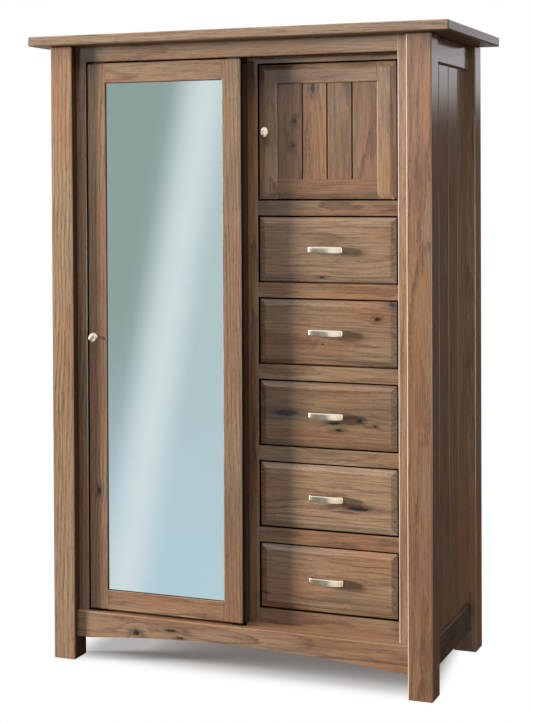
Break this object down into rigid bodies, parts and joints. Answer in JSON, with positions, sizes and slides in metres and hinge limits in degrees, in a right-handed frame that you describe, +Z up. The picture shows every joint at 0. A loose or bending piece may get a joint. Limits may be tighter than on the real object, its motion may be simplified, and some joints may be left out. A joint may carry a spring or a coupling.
{
  "type": "chifforobe",
  "caption": "Wooden chifforobe with a sliding mirror door over the wardrobe side, drawers and a small hinged cupboard beside it",
  "frame": {"origin": "on the floor, under the middle of the top board's bounding box", "axes": "+X to the right seen from the front, +Y to the back, +Z up"},
  "size_m": [1.303, 0.604, 1.88],
  "materials": {
    "oak": "grey-brown stained oak, satin",
    "drawer_wood": "pale clear-finished wood",
    "nickel": "satin nickel",
    "mirror": "silvered glass",
    "track_aluminium": "extruded, plain",
    "hanger_steel": "zinc-plated steel"
  },
  "bodies": {
    "case": {"top_board": "oak", "leg_front_left": "oak", "leg_front_right": "oak", "leg_rear_left": "oak", "leg_rear_right": "oak", "side_top_rail_left": "oak", "side_top_rail_right": "oak", "side_bottom_rail_left": "oak", "side_bottom_rail_right": "oak", "side_panel_left": "oak", "side_panel_right": "oak", "back_panel": "drawer_wood", "bottom_board": "oak", "front_apron": "oak", "face_stile_left": "oak", "face_stile_right": "oak", "face_top_rail": "oak", "inner_stile_left": "oak", "inner_stile_right": "oak", "inner_top_rail": "oak", "rail_bottom": "oak", "rail_4_5": "oak", "rail_3_4": "oak", "rail_2_3": "oak", "rail_1_2": "oak", "cupboard_floor": "oak", "partition": "oak", "hat_shelf": "oak", "hanging_rod": "nickel", "door_track": "track_aluminium", "door_guide": "hanger_steel"},
    "mirror_door": {"mirror_stile_left": "oak", "mirror_stile_right": "oak", "mirror_rail_bottom": "oak", "mirror_rail_top": "oak", "mirror_glass": "mirror", "mirror_knob": "nickel", "hanger_left": "hanger_steel", "hanger_right": "hanger_steel"},
    "cupboard_door": {"cupboard_stile_left": "oak", "cupboard_stile_right": "oak", "cupboard_rail_bottom": "oak", "cupboard_rail_top": "oak", "cupboard_panel": "oak", "cupboard_knob": "nickel"},
    "drawer_1": {"drawer_front_1": "oak", "drawer_box_1": "drawer_wood", "drawer_pull_1": "nickel"},
    "drawer_2": {"drawer_front_2": "oak", "drawer_box_2": "drawer_wood", "drawer_pull_2": "nickel"},
    "drawer_3": {"drawer_front_3": "oak", "drawer_box_3": "drawer_wood", "drawer_pull_3": "nickel"},
    "drawer_4": {"drawer_front_4": "oak", "drawer_box_4": "drawer_wood", "drawer_pull_4": "nickel"},
    "drawer_5": {"drawer_front_5": "oak", "drawer_box_5": "drawer_wood", "drawer_pull_5": "nickel"}
  },
  "joints": [
    {"name": "mirror_door_slide", "type": "slide", "parent": "case", "child": "mirror_door", "axis": [-1, 0, 0], "range_m": [-0.47, 0]},
    {"name": "cupboard_door_hinge", "type": "hinge", "parent": "case", "child": "cupboard_door", "pos_m": [0.458, -0.172, 1.586], "axis": [0, 0, 1], "range_deg": [0, 100]},
    {"name": "drawer_1_slide", "type": "slide", "parent": "case", "child": "drawer_1", "axis": [0, -1, 0], "range_m": [0, 0.32]},
    {"name": "drawer_2_slide", "type": "slide", "parent": "case", "child": "drawer_2", "axis": [0, -1, 0], "range_m": [0, 0.32]},
    {"name": "drawer_3_slide", "type": "slide", "parent": "case", "child": "drawer_3", "axis": [0, -1, 0], "range_m": [0, 0.32]},
    {"name": "drawer_4_slide", "type": "slide", "parent": "case", "child": "drawer_4", "axis": [0, -1, 0], "range_m": [0, 0.32]},
    {"name": "drawer_5_slide", "type": "slide", "parent": "case", "child": "drawer_5", "axis": [0, -1, 0], "range_m": [0, 0.32]}
  ]
}
